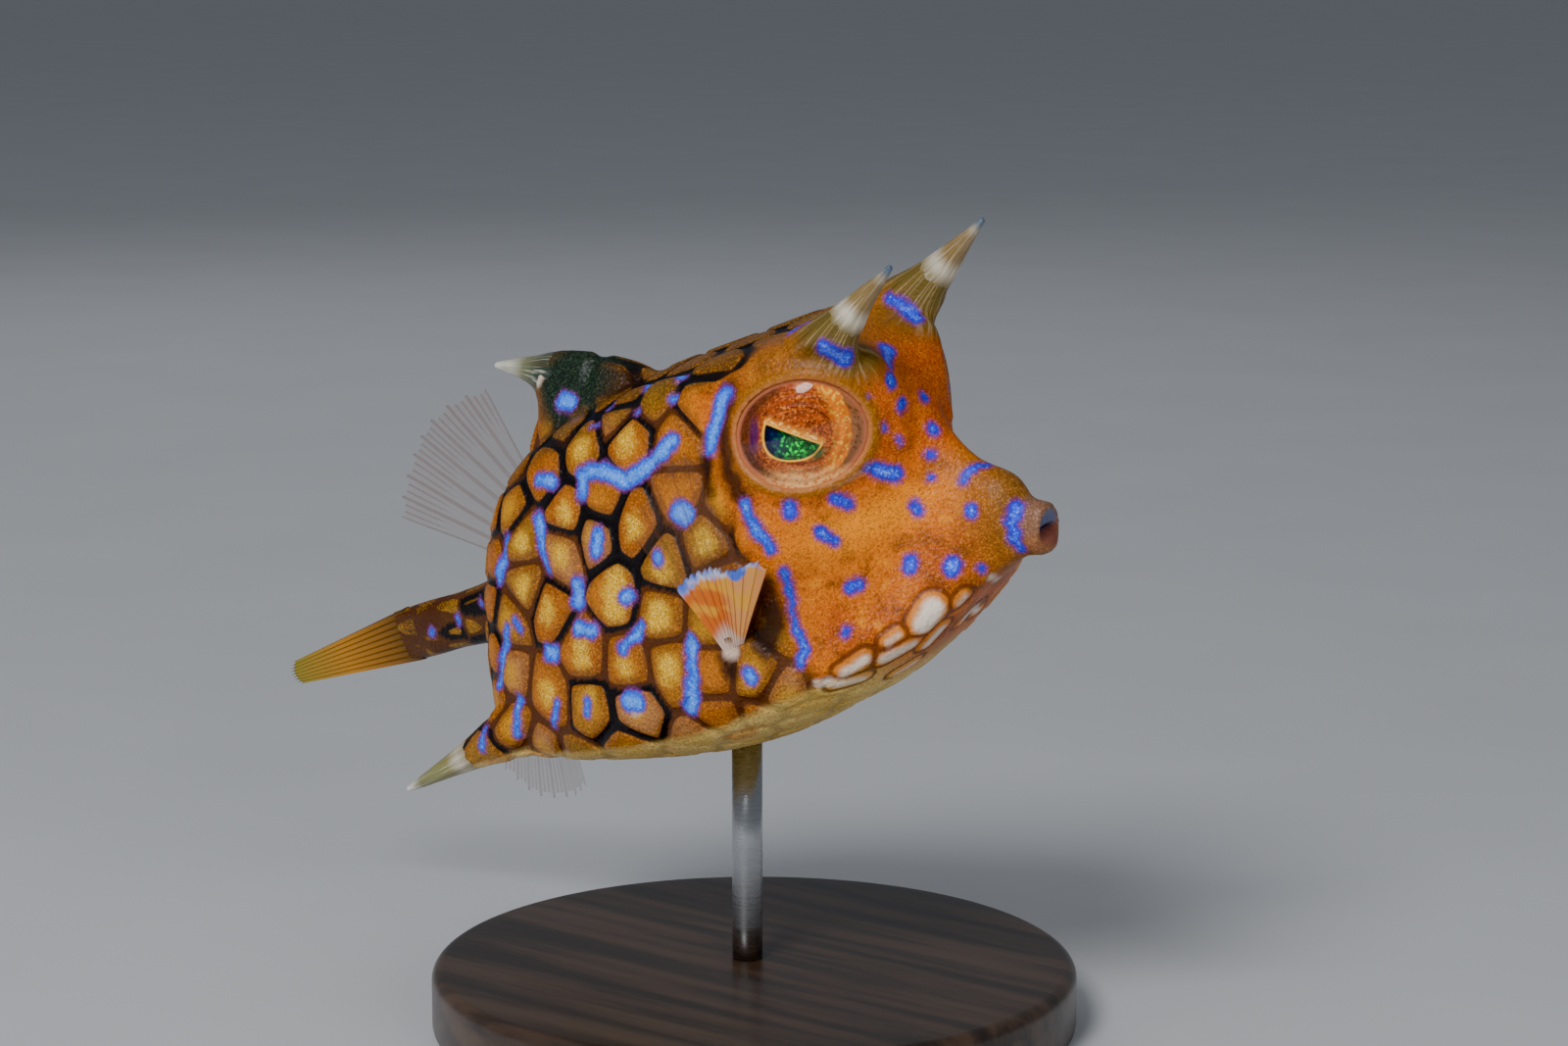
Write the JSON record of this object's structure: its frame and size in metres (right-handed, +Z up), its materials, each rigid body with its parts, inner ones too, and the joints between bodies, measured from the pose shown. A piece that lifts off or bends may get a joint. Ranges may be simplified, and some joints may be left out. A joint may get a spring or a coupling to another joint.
{
  "type": "thornback cowfish",
  "caption": "Life-size still model of a thornback cowfish swimming nose up, held over a round display base by one short rod.",
  "frame": {"origin": "middle of the flat underside of the stand's base", "axes": "+Z up, +X the way the fish swims, +Y to its left"},
  "size_m": [0.1118, 0.072, 0.0916],
  "materials": {
    "head_skin": "orange brown fish skin, finely grained, wet sheen",
    "plate_skin": "golden brown bony plates with dark borders and blue marks",
    "tail_skin": "olive brown fish skin, wet sheen",
    "spine_horn": "ivory white spine with a grey tip",
    "eye": "clear cornea over a copper iris and green pupil",
    "fin": "thin rayed membrane",
    "base_wood": "dark satin",
    "rod_steel": "brushed"
  },
  "bodies": {
    "root": {"head": "head_skin", "trunk": "plate_skin", "tail_stalk": "tail_skin", "caudal_fin": "fin", "dorsal_fin": "fin", "anal_fin": "fin", "pectoral_fin_right": "fin", "pectoral_fin_left": "fin", "eye_right": "eye", "eye_left": "eye", "horn_right": "spine_horn", "horn_left": "spine_horn", "back_thorn": "spine_horn", "rear_spine_right": "spine_horn", "rear_spine_left": "spine_horn", "stand_base": "base_wood", "stand_rod": "rod_steel"}
  },
  "joints": []
}
